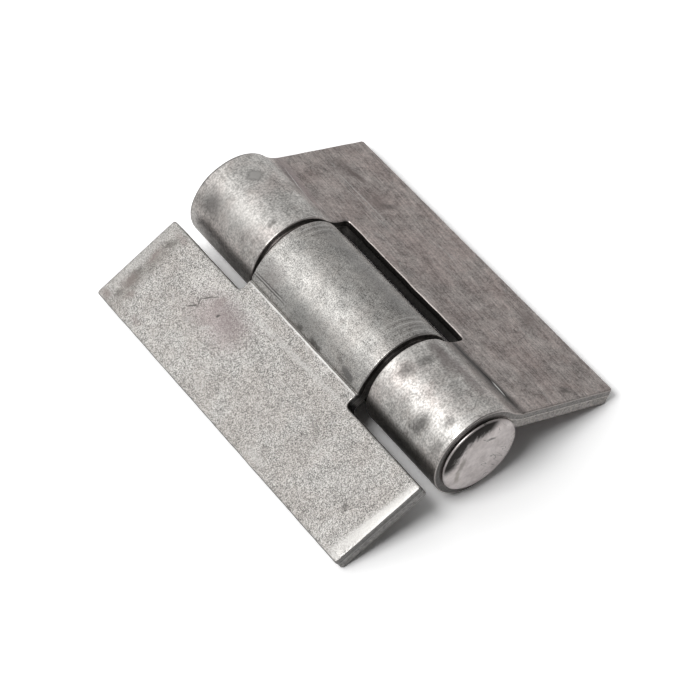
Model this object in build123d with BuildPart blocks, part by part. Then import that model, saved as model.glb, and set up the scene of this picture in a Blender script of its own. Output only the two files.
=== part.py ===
from build123d import *
import os
from math import asin, atan2, cos, degrees, hypot, radians, sin, sqrt

os.makedirs("parts", exist_ok=True)

# Plate and pin stock
plate_t = 3.175
pin_d = 12.7
running_clearance = 0.05

# Leaves, measured from the pin axis
leaf_length = 76.2
right_reach = 31.1
right_under = 4.0
left_reach = 31.2
left_under = 3.55
left_near_skew = 0.9
left_far_skew = 0.4
left_far_over = 0.3
right_far_skew = 0.6
outer_corner_r = 0.6

# Rolled knuckles
middle_knuckle = 33.3
knuckle_gap = 1.2
tail_angle = -25.0
bend_r = 9.0
crease_reach = 8.4
crease_r = 0.5
bulge_start_angle = 98.0

# Cut-outs that let the knuckles mesh
slot_reach = 10.65
notch_reach = 11.25
cut_corner_r = 0.9

# Skin edges broken by shearing and handling
eased_edge = 0.22

# Riveted pin heads
head_d = 16.1
head_h = 1.15
head_face_round = 2.6
head_side_round = 0.7
head_undercut = 0.3

# Derived sizes
pin_r = pin_d / 2
held_bore_r = pin_r
held_roll_r = held_bore_r + plate_t
running_bore_r = pin_r + running_clearance
running_roll_r = running_bore_r + plate_t
right_top = right_under + plate_t
left_top = left_under + plate_t
neck_half = middle_knuckle / 2
slot_half = neck_half + knuckle_gap
half_length = leaf_length / 2
left_near_inner = half_length + left_near_skew
left_far_outer = half_length + left_far_over
left_far_inner = left_far_outer - left_far_skew
right_far_outer = half_length + right_far_skew
cut_depth = leaf_length

# Lying pose: the knuckle and both outer long edges touch the ground
axis_height = running_roll_r
axis_point = (0, 0, axis_height)


def resting_tilt(reach, under):
    return asin(axis_height / hypot(reach, under)) + atan2(under, reach)


right_tilt = resting_tilt(right_reach, right_under)
left_tilt = resting_tilt(left_reach, left_under)
right_out = (cos(right_tilt), 0, -sin(right_tilt))
right_up = (sin(right_tilt), 0, cos(right_tilt))
left_out = (-cos(left_tilt), 0, -sin(left_tilt))
left_up = (-sin(left_tilt), 0, cos(left_tilt))
right_profile = Plane(origin=axis_point, x_dir=right_out, z_dir=(0, -1, 0))
right_outline = Plane(origin=axis_point, x_dir=right_out, z_dir=right_up)
left_profile = Plane(origin=axis_point, x_dir=left_out, z_dir=(0, 1, 0))
left_outline = Plane(origin=axis_point, x_dir=left_out, z_dir=left_up)
pin_profile = Plane(origin=axis_point, x_dir=(0, 1, 0), z_dir=(1, 0, 0))


def polar(radius, angle):
    return (radius * cos(radians(angle)), radius * sin(radians(angle)))


def is_skin(face, up):
    """True for the flat, the bend and the roll on the side that turns outward around the pin."""
    if face.geom_type == GeomType.PLANE:
        return face.normal_at().dot(Vector(*up)) > 0.99
    away = face.normal_at().dot(face.center() - Vector(*axis_point))
    return away > 0 and face.bounding_box().size.Y > plate_t


def skin_rim(faces, up):
    """Edges where the skin meets a sheared edge."""
    owned = [edge for face in faces if is_skin(face, up) for edge in face.edges()]
    return [edge for edge in owned if sum(edge.is_same(other) for other in owned) == 1]


# Two-knuckle leaf: the plate sweeps up in a soft reverse bend and rolls over the pin
bend_centre_h = right_top + bend_r
bend_centre_s = sqrt((held_roll_r + bend_r) ** 2 - bend_centre_h**2)
bend_angle = degrees(atan2(bend_centre_h, bend_centre_s))
bend_centre = (bend_centre_s, bend_centre_h)
held_wrap = 360 + tail_angle - bend_angle
bend_sweep = 90 - bend_angle

with BuildPart() as two_knuckle_leaf:
    with BuildSketch(right_profile):
        with BuildLine():
            Line((right_reach, right_under), (right_reach, right_top))
            Line((right_reach, right_top), (bend_centre_s, right_top))
            CenterArc(bend_centre, bend_r, 270 - bend_sweep, bend_sweep)
            CenterArc((0, 0), held_roll_r, bend_angle, held_wrap)
            Line(polar(held_roll_r, tail_angle), polar(held_bore_r, tail_angle))
            CenterArc((0, 0), held_bore_r, bend_angle, held_wrap)
            CenterArc(bend_centre, bend_r + plate_t, 270 - bend_sweep, bend_sweep)
            Line((bend_centre_s, right_under), (right_reach, right_under))
        make_face()
    extrude(amount=right_far_outer, both=True)
    with BuildSketch(right_outline):
        with BuildLine():
            Polyline(
                (right_reach, -half_length),
                (right_reach, right_far_outer),
                (bend_centre_s, half_length),
                (-right_reach, half_length),
                (-right_reach, -half_length),
                close=True,
            )
        make_face()
        plate_corners = vertices().group_by(Axis.X)[-1]
        fillet(plate_corners, outer_corner_r)
        with Locations((slot_reach - right_reach, 0)):
            Rectangle(right_reach * 2, slot_half * 2, mode=Mode.SUBTRACT)
        slot_corners = vertices().filter_by_position(Axis.Y, -slot_half, slot_half)
        fillet(slot_corners.filter_by_position(Axis.X, 0, right_reach), cut_corner_r)
    extrude(amount=cut_depth, both=True, mode=Mode.INTERSECT)
    chamfer(skin_rim(faces(), right_up), eased_edge)
two_knuckle_leaf.part.label = "two_knuckle_leaf"
export_step(two_knuckle_leaf.part, "parts/two_knuckle_leaf.step")

# One-knuckle leaf: the roll bulges down to the pressed flat and meets it in a tight crease
crease = (crease_reach, left_top)
crease_under = (crease_reach, left_under)
bulge_dir = polar(1.0, bulge_start_angle)
crease_along = crease[0] * bulge_dir[0] + crease[1] * bulge_dir[1]
crease_sq = crease[0] ** 2 + crease[1] ** 2
bulge_gap = crease_sq + running_roll_r**2 - 2 * running_roll_r * crease_along
bulge_r = bulge_gap / (2 * (running_roll_r - crease_along))
bulge_shift = running_roll_r - bulge_r
bulge_centre = (bulge_shift * bulge_dir[0], bulge_shift * bulge_dir[1])
crease_angle = degrees(atan2(crease[1] - bulge_centre[1], crease[0] - bulge_centre[0]))
crease_turn = 90 - crease_angle
bulge_sweep = bulge_start_angle - crease_angle
running_wrap = 360 + tail_angle - bulge_start_angle

with BuildPart() as one_knuckle_leaf:
    with BuildSketch(left_profile):
        with BuildLine():
            Line((left_reach, left_under), (left_reach, left_top))
            Line((left_reach, left_top), crease)
            CenterArc(bulge_centre, bulge_r, crease_angle, bulge_sweep)
            CenterArc((0, 0), running_roll_r, bulge_start_angle, running_wrap)
            Line(polar(running_roll_r, tail_angle), polar(running_bore_r, tail_angle))
            CenterArc((0, 0), running_bore_r, bulge_start_angle, running_wrap)
            CenterArc(bulge_centre, bulge_r - plate_t, crease_angle, bulge_sweep)
            CenterArc(crease, plate_t, 270 - crease_turn, crease_turn)
            Line(crease_under, (left_reach, left_under))
        make_face()
        crease_corner = vertices().sort_by_distance(crease)[0]
        fillet(crease_corner, crease_r)
    extrude(amount=left_near_inner, both=True)
    with BuildSketch(left_outline):
        with BuildLine():
            Polyline(
                (left_reach, -left_far_outer),
                (left_reach, half_length),
                (notch_reach, left_near_inner),
                (notch_reach, -left_far_inner),
                close=True,
            )
        make_face()
        plate_corners = vertices().group_by(Axis.X)[-1]
        fillet(plate_corners, outer_corner_r)
        Rectangle(notch_reach * 2, neck_half * 2)
        notch_corners = vertices().filter_by_position(Axis.Y, -neck_half, neck_half)
        fillet(notch_corners.filter_by_position(Axis.X, 0, left_reach), cut_corner_r)
    extrude(amount=cut_depth, both=True, mode=Mode.INTERSECT)
    chamfer(skin_rim(faces(), left_up), eased_edge)
one_knuckle_leaf.part.label = "one_knuckle_leaf"
export_step(one_knuckle_leaf.part, "parts/one_knuckle_leaf.step")

# Pin: round bar with a flat riveted head on each end, rounded in front and lifted behind at its rim
pin_half = half_length + head_h
head_r = head_d / 2
rim_back = half_length + head_undercut
rim_front = pin_half - head_side_round
face_r = head_r - head_face_round

with BuildPart() as pin:
    with BuildSketch(pin_profile):
        with BuildLine():
            Line((0, 0), (pin_half, 0))
            Line((pin_half, 0), (pin_half, face_r))
            EllipticalCenterArc((rim_front, face_r), head_side_round, head_face_round, 0, arc_size=90)
            Line((rim_front, head_r), (rim_back, head_r))
            Line((rim_back, head_r), (half_length, head_r - head_undercut))
            Line((half_length, head_r - head_undercut), (half_length, pin_r))
            Line((half_length, pin_r), (0, pin_r))
            Line((0, pin_r), (0, 0))
        make_face()
        mirror(about=Plane.YZ)
    revolve(axis=Axis(axis_point, (0, 1, 0)))
pin.part.label = "pin"
export_step(pin.part, "parts/pin.step")
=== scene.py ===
from math import asin, atan2, cos, exp, hypot, pi, radians, sin, sqrt, tan

import bpy
import numpy as np
from mathutils import Matrix, Vector, noise
from mathutils.geometry import delaunay_2d_cdt


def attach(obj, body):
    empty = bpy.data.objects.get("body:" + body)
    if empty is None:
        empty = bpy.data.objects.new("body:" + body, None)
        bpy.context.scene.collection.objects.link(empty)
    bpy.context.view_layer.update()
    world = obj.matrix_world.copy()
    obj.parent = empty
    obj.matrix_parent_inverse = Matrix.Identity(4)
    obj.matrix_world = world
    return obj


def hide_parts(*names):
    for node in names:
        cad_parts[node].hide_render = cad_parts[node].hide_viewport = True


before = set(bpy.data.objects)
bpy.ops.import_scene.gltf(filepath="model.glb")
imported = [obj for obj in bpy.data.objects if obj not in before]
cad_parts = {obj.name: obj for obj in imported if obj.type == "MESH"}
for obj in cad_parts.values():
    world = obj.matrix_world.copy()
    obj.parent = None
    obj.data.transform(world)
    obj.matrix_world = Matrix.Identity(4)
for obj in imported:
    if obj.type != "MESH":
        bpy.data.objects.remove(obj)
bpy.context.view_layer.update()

# Sizes of the plates and the pin, in millimetres, as in the solids
MM = 0.001
PLATE_T = 3.175
PIN_R = 12.7 / 2
RUNNING_CLEARANCE = 0.05
LEAF_LENGTH = 76.2
RIGHT_REACH = 31.1
RIGHT_UNDER = 4.0
LEFT_REACH = 31.2
LEFT_UNDER = 3.55
LEFT_NEAR_SKEW = 0.9
LEFT_FAR_SKEW = 0.4
LEFT_FAR_OVER = 0.3
RIGHT_FAR_SKEW = 0.6
OUTER_CORNER_R = 0.6
MIDDLE_KNUCKLE = 33.3
KNUCKLE_GAP = 1.2
TAIL_ANGLE = radians(-25.0)
BEND_R = 9.0
CREASE_REACH = 8.4
CREASE_R = 0.5
BULGE_START_ANGLE = radians(98.0)
SLOT_REACH = 10.65
NOTCH_REACH = 11.25
CUT_CORNER_R = 0.9
TAIL_CORNER_R = 0.5
HEAD_R = 16.1 / 2
HEAD_H = 1.15
HEAD_FACE_ROUND = 2.6
HEAD_SIDE_ROUND = 0.7
HEAD_UNDERCUT = 0.3

HALF_T = PLATE_T / 2
HALF_LENGTH = LEAF_LENGTH / 2
NECK_HALF = MIDDLE_KNUCKLE / 2
SLOT_HALF = NECK_HALF + KNUCKLE_GAP
HELD_ROLL_R = PIN_R + PLATE_T
RUNNING_ROLL_R = PIN_R + RUNNING_CLEARANCE + PLATE_T
AXIS_HEIGHT = RUNNING_ROLL_R

# Mesh fineness of the plates, in millimetres
GRID_STEP = 0.48
FINE_STEP = 0.13
OUTLINE_STEP = 0.42
CORNER_STEP = 0.2
EDGE_MARGIN = GRID_STEP * 0.45

# Waviness of sheared edges: wave length and the run over which it fades in, in millimetres
EDGE_WAVE_LENGTH = 3.2
EDGE_WAVE_FADE = 2.0
EDGE_WAVE_APART = 7.1
TINY = 1e-12


# Flat blanks

def rounded_outline(corners):
    """Points and outward normals round a blank.

    Corners run counter-clockwise as (u, y, radius, waviness of the edge that follows).
    """
    points, normals = [], []
    count = len(corners)
    for i, (u, y, radius, waviness) in enumerate(corners):
        here = Vector((u, y))
        before = Vector(corners[i - 1][:2])
        after = Vector(corners[(i + 1) % count][:2])
        way_in = (here - before).normalized()
        way_out = (after - here).normalized()
        turn = atan2(way_in.x * way_out.y - way_in.y * way_out.x, way_in.dot(way_out))
        out_in = Vector((way_in.y, -way_in.x))
        side = 1.0 if turn > 0 else -1.0
        reach = radius * tan(abs(turn) / 2)
        centre = here - way_in * reach - out_in * radius * side
        steps = max(2, round(abs(turn) * radius / CORNER_STEP))
        for k in range(steps + 1):
            angle = turn * k / steps
            normal = Vector((
                out_in.x * cos(angle) - out_in.y * sin(angle),
                out_in.x * sin(angle) + out_in.y * cos(angle),
            ))
            points.append(centre + normal * radius * side)
            normals.append(normal)
        next_r = corners[(i + 1) % count][2]
        next_out = (Vector(corners[(i + 2) % count][:2]) - after).normalized()
        next_turn = atan2(way_out.x * next_out.y - way_out.y * next_out.x, way_out.dot(next_out))
        start = points[-1].copy()
        stop = after - way_out * next_r * tan(abs(next_turn) / 2)
        run = (stop - start).length
        pieces = max(1, round(run / OUTLINE_STEP))
        for k in range(1, pieces):
            share = k / pieces
            fade = min(1.0, share * run / EDGE_WAVE_FADE, (1 - share) * run / EDGE_WAVE_FADE)
            spot = Vector((run * share / EDGE_WAVE_LENGTH, i * EDGE_WAVE_APART, 0))
            wave = noise.noise(spot) * waviness * fade
            points.append(start.lerp(stop, share) - normals[-1] * wave)
            normals.append(normals[-1].copy())
    return np.array([p[:] for p in points]), np.array([n[:] for n in normals])


def inside_with_margin(points, outline, margin):
    """For each point: inside the closed outline by at least margin, and its distance from it."""
    a, b = outline, np.roll(outline, -1, axis=0)
    inside = np.zeros(len(points), bool)
    nearest = np.full(len(points), np.inf)
    for p, q in zip(a, b):
        crosses = (p[1] > points[:, 1]) != (q[1] > points[:, 1])
        slope = (q[0] - p[0]) * (points[:, 1] - p[1]) / (q[1] - p[1] + TINY) + p[0]
        inside ^= crosses & (points[:, 0] < slope)
        way = q - p
        t = np.clip(((points - p) @ way) / (way @ way + TINY), 0, 1)
        nearest = np.minimum(nearest, np.hypot(*(points - p - t[:, None] * way).T))
    return inside & (nearest > margin), nearest


# Section of a sheared edge from skin to underside, as inset and share of the half thickness:
# drawn over, burnished, torn, burred
SHEARED_EDGE = [
    (0.36, 1.0), (0.22, 0.99), (0.12, 0.96), (0.05, 0.905), (0.01, 0.825), (0.0, 0.70),
    (0.0, 0.37), (0.005, 0.15), (0.05, 0.07), (0.075, -0.10), (0.07, -0.37), (0.05, -0.67),
    (0.02, -0.90), (0.015, -0.975), (0.10, -1.0),
]
DRAWN_OVER = 3
TORN_FROM = 8
TORN_DEPTH = 0.045


def flat_blank(name, corners, rows, shape):
    """Closed mesh of a sheared blank lying flat, with its flat coordinates kept as attributes.

    Rows are the u values of its inner points. shape(u, y) is how far the skin is raised there.
    """
    outline, normals = rounded_outline(corners)
    count = len(outline)
    last = len(SHEARED_EDGE) - 1
    columns = np.arange(-HALF_LENGTH - 1, HALF_LENGTH + 1.01, GRID_STEP)
    grid = np.array([(u, y) for u in rows for y in columns])

    def filled(ring):
        inner = grid[inside_with_margin(grid, ring, EDGE_MARGIN)[0]]
        flat = [Vector(p) for p in np.vstack([ring, inner])]
        loop = [(i, (i + 1) % count) for i in range(count)]
        _, _, faces, source, _, _ = delaunay_2d_cdt(flat, loop, [list(range(count))], 1, 1e-6)
        return inner, [[source[i][0] for i in face] for face in faces]

    coords, cut, faces = [], [], []
    for level, (inset, share) in enumerate(SHEARED_EDGE):
        ring = outline - normals * inset
        if TORN_FROM <= level < last - 1:
            rough = [noise.noise(Vector((p[0] * 1.7, p[1] * 1.7, share * 4))) for p in ring]
            ring = ring - normals * (TORN_DEPTH * np.array(rough))[:, None]
        coords += [(p[0], p[1], share * HALF_T) for p in ring]
        cut += [1.0 if DRAWN_OVER < level < last else 0.0] * count
    for level in range(last):
        a, b = level * count, (level + 1) * count
        faces += [(a + i, b + i, b + (i + 1) % count, a + (i + 1) % count) for i in range(count)]
    for level, flip in ((0, False), (last, True)):
        inset, share = SHEARED_EDGE[level]
        inner, triangles = filled(outline - normals * inset)
        first = len(coords)
        coords += [(p[0], p[1], share * HALF_T) for p in inner]
        cut += [0.0] * len(inner)
        for corner in triangles:
            corner = [level * count + i if i < count else first + i - count for i in corner]
            faces.append(corner[::-1] if flip else corner)
    coords = np.array(coords)
    rim = inside_with_margin(coords[:, :2], outline, 0)[1]
    raised = coords.copy()
    for place in raised:
        place[2] += shape(place[0], place[1]) * max(0.0, place[2] / HALF_T)
    mesh = bpy.data.meshes.new(name)
    mesh.from_pydata(raised.tolist(), [], faces)
    mesh.attributes.new("blank", "FLOAT_VECTOR", "POINT").data.foreach_set(
        "vector", coords.astype(np.float32).ravel())
    mesh.attributes.new("rim", "FLOAT", "POINT").data.foreach_set("value", rim.astype(np.float32))
    mesh.attributes.new("cut", "FLOAT", "POINT").data.foreach_set("value", np.array(cut, np.float32))
    return mesh


def slow_waves(u, y, height, size, seed):
    """Slow unevenness that rolling and pressing leave."""
    place = Vector((u / size, y / size, seed))
    return height * (noise.noise(place) + 0.35 * noise.noise(place * 2.7))


def bell(value, width):
    return exp(-(value / width) ** 2)


def ramp(low, high, value):
    share = min(1.0, max(0.0, (value - low) / (high - low)))
    return share * share * (3 - 2 * share)


# Node trees

class Nodes:
    """Short words for building one node tree."""

    def __init__(self, tree):
        self.tree = tree

    def add(self, kind, inputs, **settings):
        made = self.tree.nodes.new(kind)
        for key, value in settings.items():
            setattr(made, key, value)
        for key, value in inputs.items():
            if isinstance(value, bpy.types.NodeSocket):
                self.tree.links.new(value, made.inputs[key])
            else:
                made.inputs[key].default_value = value
        return made

    def maths(self, operation, *values):
        return self.add("ShaderNodeMath", dict(enumerate(values)), operation=operation).outputs[0]

    def vector(self, operation, *values):
        return self.add("ShaderNodeVectorMath", dict(enumerate(values)), operation=operation).outputs[0]

    def split(self, vector):
        return self.add("ShaderNodeSeparateXYZ", {0: vector}).outputs

    def join(self, x, y, z):
        return self.add("ShaderNodeCombineXYZ", {0: x, 1: y, 2: z}).outputs[0]

    def smooth(self, value, low, high, start=0.0, stop=1.0):
        inputs = {"Value": value, "From Min": low, "From Max": high, "To Min": start, "To Max": stop}
        return self.add("ShaderNodeMapRange", inputs, interpolation_type="SMOOTHSTEP").outputs[0]

    def noise(self, vector, scale, detail, rough):
        inputs = {"Vector": vector, "Scale": scale, "Detail": detail, "Roughness": rough}
        return self.add("ShaderNodeTexNoise", inputs).outputs

    def mix(self, factor, first, second, mode="MIX"):
        inputs = {0: factor, 6: first, 7: second}
        return self.add("ShaderNodeMix", inputs, data_type="RGBA", blend_type=mode).outputs[2]

    def between(self, factor, first, second):
        return self.add("ShaderNodeMix", {0: factor, 2: first, 3: second}, data_type="FLOAT").outputs[0]

    def own(self, name, kind):
        return self.add("ShaderNodeAttribute", {}, attribute_name=name).outputs[kind]

    def use(self, group, **inputs):
        made = self.add("ShaderNodeGroup", {}, node_tree=group)
        for key, value in inputs.items():
            if isinstance(value, bpy.types.NodeSocket):
                self.tree.links.new(value, made.inputs[key])
            else:
                made.inputs[key].default_value = value
        return made.outputs


def bend_tree():
    """Geometry nodes that turn the part of a flat blank past Start through Turn, over Length."""
    tree = bpy.data.node_groups.new("bend plate", "GeometryNodeTree")
    face = tree.interface
    face.new_socket("Plate", in_out="INPUT", socket_type="NodeSocketGeometry")
    for label in ("Start", "Length", "Turn"):
        face.new_socket(label, in_out="INPUT", socket_type="NodeSocketFloat")
    face.new_socket("Finish", in_out="INPUT", socket_type="NodeSocketMaterial")
    face.new_socket("Plate", in_out="OUTPUT", socket_type="NodeSocketGeometry")
    n = Nodes(tree)
    given = tree.nodes.new("NodeGroupInput").outputs
    flat = n.add("GeometryNodeInputNamedAttribute", {"Name": "blank"}, data_type="FLOAT_VECTOR")
    along = n.split(flat.outputs["Attribute"])["X"]
    place = n.split(tree.nodes.new("GeometryNodeInputPosition").outputs[0])
    past = n.maths("SUBTRACT", along, given["Start"])
    bent = n.maths("MINIMUM", n.maths("MAXIMUM", past, 0.0), given["Length"])
    curve = n.maths("DIVIDE", given["Turn"], given["Length"])
    angle = n.maths("MULTIPLY", bent, curve)
    radius = n.maths("DIVIDE", 1.0, curve)
    arc_x = n.maths("ADD", given["Start"], n.maths("MULTIPLY", radius, n.maths("SINE", angle)))
    arc_z = n.maths("SUBTRACT", radius, n.maths("MULTIPLY", radius, n.maths("COSINE", angle)))
    beyond = n.maths("SUBTRACT", n.maths("SUBTRACT", place["X"], given["Start"]), bent)
    arm = n.join(beyond, place["Y"], place["Z"])
    swing = {"Vector": arm, "Angle": angle, "Axis": (0, -1, 0)}
    swung = n.add("ShaderNodeVectorRotate", swing).outputs[0]
    whole = n.vector("ADD", n.join(arc_x, 0.0, arc_z), swung)
    moved = n.add("GeometryNodeSetPosition", {"Geometry": given["Plate"], "Position": whole})
    real = n.add("GeometryNodeRealizeInstances", {"Geometry": moved.outputs[0]})
    dressed = {"Geometry": real.outputs[0], "Material": given["Finish"]}
    finish = n.add("GeometryNodeSetMaterial", dressed)
    tree.links.new(finish.outputs[0], tree.nodes.new("NodeGroupOutput").inputs[0])
    return tree


# Finishes shared by the pieces

def effect_group(name, inputs, outputs):
    """Empty shader node group, as its builder, its inputs and a way to fill its outputs."""
    tree = bpy.data.node_groups.new(name, "ShaderNodeTree")
    for label, kind in inputs.items():
        tree.interface.new_socket(label, in_out="INPUT", socket_type="NodeSocket" + kind)
    for label in outputs:
        tree.interface.new_socket(label, in_out="OUTPUT", socket_type="NodeSocketFloat")
    given = tree.nodes.new("NodeGroupInput").outputs
    result = tree.nodes.new("NodeGroupOutput").inputs

    def fill(label, value):
        tree.links.new(value, result[label])

    return Nodes(tree), given, fill


def sandy_grain_group():
    n, given, fill = effect_group("sandy grain", {"Flat": "Vector", "Size": "Float"}, ["Grain"])
    fine = n.noise(given["Flat"], n.maths("DIVIDE", 1.0, given["Size"]), 2.0, 0.6)[0]
    fill("Grain", n.smooth(fine, 0.30, 0.70))
    return n.tree


def stretched(n, given):
    """Noise on coordinates that are turned by Lean and stretched to Width and Length."""
    turn = {"Vector": given["Flat"], "Angle": given["Lean"]}
    parts = n.split(n.add("ShaderNodeVectorRotate", turn, rotation_type="Z_AXIS").outputs[0])
    across = n.maths("DIVIDE", parts["X"], given["Width"])
    return n.join(across, n.maths("DIVIDE", parts["Y"], given["Length"]), parts["Z"])


STREAK_INPUTS = {"Flat": "Vector", "Width": "Float", "Length": "Float", "Lean": "Float"}


def drawn_streaks_group():
    n, given, fill = effect_group("drawn streaks", STREAK_INPUTS, ["Streak"])
    fill("Streak", n.smooth(n.noise(stretched(n, given), 1.0, 3.0, 0.6)[0], 0.30, 0.70))
    return n.tree


def hairlines_group():
    n, given, fill = effect_group("hairlines", {**STREAK_INPUTS, "Fineness": "Float"}, ["Line"])
    value = n.noise(stretched(n, given), 1.0, 1.0, 0.4)[0]
    off = n.maths("DIVIDE", n.maths("ABSOLUTE", n.maths("SUBTRACT", value, 0.5)), given["Fineness"])
    sparse = n.smooth(n.noise(given["Flat"], 0.16, 2.0, 0.5)[0], 0.50, 0.62)
    fill("Line", n.maths("MULTIPLY", n.smooth(off, 1.0, 0.2), sparse))
    return n.tree


def stain_group():
    inputs = {"Flat": "Vector", "Size": "Float", "Level": "Float", "Feather": "Float"}
    n, given, fill = effect_group("stains", inputs, ["Stain"])
    cloud = n.noise(given["Flat"], n.maths("DIVIDE", 1.0, given["Size"]), 5.0, 0.62)[0]
    low = n.maths("SUBTRACT", given["Level"], given["Feather"])
    high = n.maths("ADD", given["Level"], given["Feather"])
    fill("Stain", n.smooth(cloud, low, high))
    return n.tree


def placed_mark_group():
    inputs = {
        "Flat": "Vector", "Centre": "Vector", "Reach": "Vector", "Lean": "Float",
        "Feather": "Float", "Ragged": "Float",
    }
    n, given, fill = effect_group("placed mark", inputs, ["Mark"])
    wild = n.vector("SUBTRACT", n.noise(given["Flat"], 1.1, 4.0, 0.65)[1], (0.5, 0.5, 0.5))
    wild = n.add("ShaderNodeVectorMath", {0: wild, "Scale": given["Ragged"]}, operation="SCALE").outputs[0]
    away = n.vector("ADD", n.vector("SUBTRACT", given["Flat"], given["Centre"]), wild)
    turn = {"Vector": away, "Angle": given["Lean"]}
    away = n.add("ShaderNodeVectorRotate", turn, rotation_type="Z_AXIS").outputs[0]
    away = n.split(n.vector("ABSOLUTE", n.vector("DIVIDE", away, given["Reach"])))
    fourth = [n.maths("POWER", away[axis], 4.0) for axis in ("X", "Y")]
    span = n.maths("POWER", n.maths("ADD", *fourth), 0.25)
    low = n.maths("SUBTRACT", 1.0, given["Feather"])
    high = n.maths("ADD", 1.0, given["Feather"])
    on_skin = n.smooth(n.split(given["Flat"])["Z"], 0.0, 0.3)
    fill("Mark", n.maths("MULTIPLY", n.smooth(span, high, low), on_skin))
    return n.tree


# Band along every rim that lightens it: wear on the sheared edges together with a painted edge highlight.
def worn_and_highlit_edge_group():
    inputs = {"Rim": "Float", "Flat": "Vector", "Width": "Float"}
    n, given, fill = effect_group("worn and highlit edge", inputs, ["Worn"])
    broken = n.noise(given["Flat"], 0.9, 4.0, 0.65)[0]
    wide = n.maths("MULTIPLY", given["Width"], n.smooth(broken, 0.3, 0.7, 0.25, 1.6))
    fill("Worn", n.maths("SUBTRACT", 1.0, n.smooth(given["Rim"], 0.0, wide)))
    return n.tree


def sheared_wall_group():
    inputs = {"Flat": "Vector", "Cut": "Float"}
    n, given, fill = effect_group("sheared wall", inputs, ["Wall", "Torn", "Seam", "Rough"])
    rough = n.noise(given["Flat"], 1.6, 4.0, 0.7)[0]
    ripple = n.maths("MULTIPLY", n.maths("SUBTRACT", rough, 0.5), 0.55)
    level = n.maths("ADD", n.split(given["Flat"])["Z"], ripple)
    fill("Wall", n.smooth(given["Cut"], 0.35, 0.65))
    fill("Torn", n.smooth(level, 0.22, 0.06))
    fill("Seam", n.maths("MULTIPLY", n.smooth(level, 0.0, 0.10), n.smooth(level, 0.34, 0.18)))
    fill("Rough", rough)
    return n.tree


sandy_grain = sandy_grain_group()
drawn_streaks = drawn_streaks_group()
hairlines = hairlines_group()
stains = stain_group()
placed_mark = placed_mark_group()
worn_and_highlit_edge = worn_and_highlit_edge_group()
sheared_wall = sheared_wall_group()


def bare_metal(name):
    """Material with a plain metal shader, as the material, its builder and its shader."""
    material = bpy.data.materials.new(name)
    material.use_nodes = True
    shader = material.node_tree.nodes["Principled BSDF"]
    shader.inputs["Metallic"].default_value = 1.0
    return material, Nodes(material.node_tree), shader


# Tones as shares of the steel or wall colour, and what goes with them
DULL_TONE, BRIGHT_TONE = 0.35, 1.65
SHINE_SWING = 0.22
WORN_AND_HIGHLIT_TONE, WORN_ROUGH = 1.35, 0.34
BURNISHED_TONES = (0.38, 0.72)
TORN_TONES = (0.62, 1.25)
SEAM_TONE, SEAM_STRENGTH = 1.8, 0.8
BURNISHED_ROUGH, TORN_ROUGH = 0.36, 0.62
WALL_DARKENING_FEATHER, WALL_DARKENING_RAGGED = 0.3, 0.4
MOTTLE_RELIEF, WALL_RELIEF = 0.3, 2.0


def toned(colour, factor):
    return tuple(factor * part for part in colour) + (1.0,)


def marked(n, flat, marks, colour, rough):
    """Lays placed marks over a colour and a roughness."""
    for centre, reach, lean, feather, ragged, tone, strength, shine in marks:
        mark = n.use(
            placed_mark, Flat=flat, Centre=(*centre, 0), Reach=(*reach, 1), Lean=radians(lean),
            Feather=feather, Ragged=ragged)["Mark"]
        factor = n.maths("MULTIPLY", mark, strength)
        colour = n.mix(factor, colour, (*tone, 1.0))
        rough = n.between(factor, rough, shine)
    return colour, rough


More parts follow.
